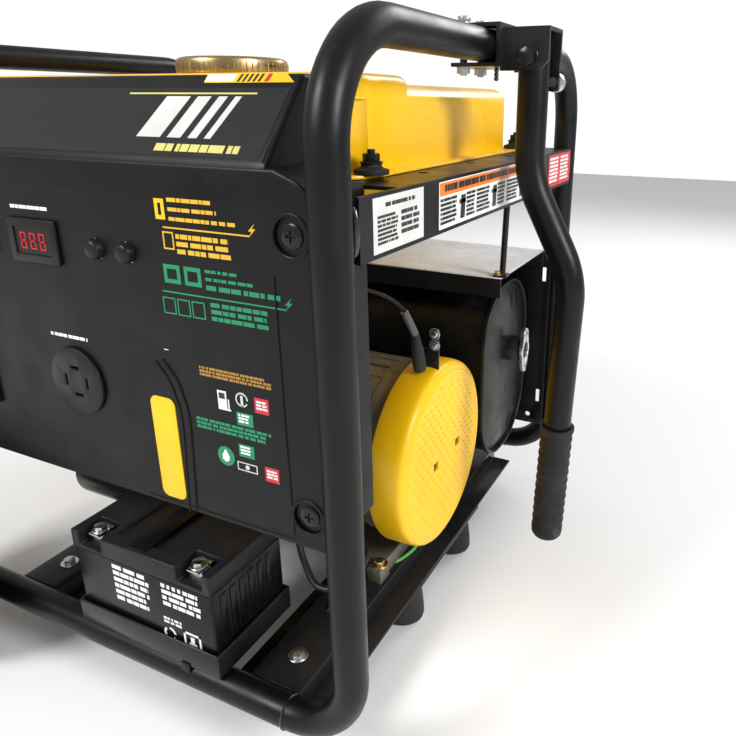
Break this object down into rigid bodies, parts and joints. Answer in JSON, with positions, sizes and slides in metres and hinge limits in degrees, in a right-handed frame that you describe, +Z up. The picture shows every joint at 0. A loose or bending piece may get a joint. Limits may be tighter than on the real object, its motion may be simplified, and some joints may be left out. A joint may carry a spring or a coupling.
{
  "type": "portable generator",
  "caption": "Open-frame petrol generator set with electric start battery, hanging fold-out handle, wheels and feet; engine and alternator turn on one shaft.",
  "frame": {"origin": "middle of the object's footprint, at ground level", "axes": "+X points to the alternator and handle end, +Y to the muffler side, the control panel faces -Y, +Z is up"},
  "size_m": [0.6537, 0.6388, 0.5675],
  "materials": {
    "frame_black": "satin powder coat, near black",
    "engine_black": "matt heat-resistant black",
    "soft_rubber": "matt moulded rubber",
    "tyre": "matt solid tyre",
    "black_plastic": "fine-grained black plastic",
    "panel_plastic": "charcoal moulded plastic",
    "yellow_paint": "glossy yellow enamel on pressed steel",
    "yellow_plastic": "grained yellow plastic",
    "aluminium": "as-cast, dull",
    "zinc_steel": "zinc plated",
    "copper": "enamelled windings",
    "cast_iron": "machined cast iron",
    "shield_metal": "bare galvanised sheet",
    "cap_brass": "yellow-passivated steel",
    "red_plastic": "red plastic"
  },
  "bodies": {
    "root": {"right_hoop": "frame_black", "left_hoop": "frame_black", "front_rail": "frame_black", "rear_rail": "frame_black", "right_crossmember": "frame_black", "left_crossmember": "frame_black", "right_channel": "frame_black", "left_channel": "frame_black", "front_foot": "soft_rubber", "rear_foot": "soft_rubber", "front_axle": "zinc_steel", "rear_axle": "zinc_steel", "handle_bracket": "frame_black", "pivot_bolt": "zinc_steel", "battery_tray": "frame_black", "battery": "black_plastic", "negative_lead": "soft_rubber", "positive_lead": "red_plastic", "fuel_tank": "yellow_paint", "panel_housing": "panel_plastic", "voltage_meter": "black_plastic", "duplex_outlet": "black_plastic", "locking_outlet": "black_plastic", "alternator_housing": "aluminium", "alternator_cover": "yellow_plastic", "stator": "copper", "crankcase": "aluminium", "cylinder_head": "aluminium", "valve_cover": "engine_black", "blower_housing": "engine_black", "recoil_cover": "yellow_plastic", "starter_motor": "frame_black", "muffler": "engine_black", "heat_shield": "shield_metal", "guard_plate": "frame_black", "carburettor": "aluminium", "air_filter": "black_plastic"},
    "front_wheel": {"front_tyre": "tyre", "front_hub": "black_plastic"},
    "rear_wheel": {"rear_tyre": "tyre", "rear_hub": "black_plastic"},
    "handle": {"handle_tube": "frame_black", "handle_grip": "soft_rubber"},
    "handle_lock": {"lock_pin": "zinc_steel"},
    "bayonet": {"cap_insert": "zinc_steel"},
    "fuel_cap": {"fuel_cap": "cap_brass"},
    "crank": {"crankshaft": "zinc_steel", "rotor": "cast_iron", "flywheel": "cast_iron"},
    "piston": {"piston": "zinc_steel"},
    "pull_cord": {"recoil_grip": "soft_rubber", "recoil_rope": "soft_rubber"},
    "recoil_reel": {"recoil_pulley": "black_plastic"},
    "rocker": {"start_rocker": "red_plastic"},
    "selector": {"fuel_selector": "yellow_plastic"},
    "first_breaker": {"first_breaker": "black_plastic"},
    "second_breaker": {"second_breaker": "black_plastic"},
    "choke": {"choke_lever": "red_plastic"},
    "fuel_lever": {"fuel_lever": "red_plastic"},
    "oil_plug": {"dipstick": "yellow_plastic"}
  },
  "joints": [
    {"name": "front_wheel_spin", "type": "hinge", "parent": "root", "child": "front_wheel", "pos_m": [-0.2225, -0.292, 0.1015], "axis": [0, 1, 0], "continuous": true},
    {"name": "rear_wheel_spin", "type": "hinge", "parent": "root", "child": "rear_wheel", "pos_m": [-0.2225, 0.292, 0.1015], "axis": [0, 1, 0], "continuous": true},
    {"name": "handle_fold", "type": "hinge", "parent": "root", "child": "handle", "pos_m": [0.271, 0, 0.536], "axis": [0, -1, 0], "range_deg": [0, 90]},
    {"name": "lock_release", "type": "slide", "parent": "root", "child": "handle_lock", "axis": [0, 1, 0], "range_m": [0, 0.008], "stiffness_N_per_m": 400, "springref_m": -0.005},
    {"name": "cap_twist", "type": "hinge", "parent": "root", "child": "bayonet", "pos_m": [0.0455, -0.097, 0.52], "axis": [0, 0, 1], "range_deg": [0, 75]},
    {"name": "cap_lift", "type": "slide", "parent": "bayonet", "child": "fuel_cap", "axis": [0, 0, 1], "range_m": [0, 0.1]},
    {"name": "crank_spin", "type": "hinge", "parent": "root", "child": "crank", "pos_m": [0, -0.026, 0.1755], "axis": [1, 0, 0], "continuous": true},
    {"name": "piston_stroke", "type": "slide", "parent": "root", "child": "piston", "axis": [0, -0.9063, -0.4226], "range_m": [0, 0.052]},
    {"name": "cord_pull", "type": "slide", "parent": "root", "child": "pull_cord", "axis": [0, -0.9659, 0.2588], "range_m": [0, 0.45], "stiffness_N_per_m": 30, "springref_m": -0.3},
    {"name": "reel_turn", "type": "hinge", "parent": "root", "child": "recoil_reel", "pos_m": [-0.2314, -0.026, 0.1755], "axis": [1, 0, 0], "range_deg": [0, 545]},
    {"name": "start_press", "type": "hinge", "parent": "root", "child": "rocker", "pos_m": [-0.07913, -0.2475, 0.406], "axis": [1, 0, 0], "range_deg": [-8, 8], "stiffness_Nm_per_rad": 0.05},
    {"name": "fuel_select", "type": "hinge", "parent": "root", "child": "selector", "pos_m": [-0.14925, -0.25, 0.406], "axis": [0, 1, 0], "range_deg": [0, 90]},
    {"name": "first_breaker_press", "type": "slide", "parent": "root", "child": "first_breaker", "axis": [0, 1, 0], "range_m": [0, 0.003], "stiffness_N_per_m": 300, "springref_m": -0.002},
    {"name": "second_breaker_press", "type": "slide", "parent": "root", "child": "second_breaker", "axis": [0, 1, 0], "range_m": [0, 0.003], "stiffness_N_per_m": 300, "springref_m": -0.002},
    {"name": "choke_turn", "type": "hinge", "parent": "root", "child": "choke", "pos_m": [-0.1471, 0.1339, 0.268], "axis": [0, 0, 1], "range_deg": [-40, 0]},
    {"name": "fuel_valve_turn", "type": "hinge", "parent": "root", "child": "fuel_lever", "pos_m": [-0.2125, -0.16, 0.4138], "axis": [0, 1, 0], "range_deg": [0, 90]},
    {"name": "oil_plug_turn", "type": "hinge", "parent": "root", "child": "oil_plug", "pos_m": [-0.0258, -0.12, 0.1095], "axis": [0, 1, 0], "range_deg": [0, 360]}
  ],
  "couplings": [
    {"joint": "reel_turn", "follows": "cord_pull", "rad_per_m": 21.097}
  ]
}
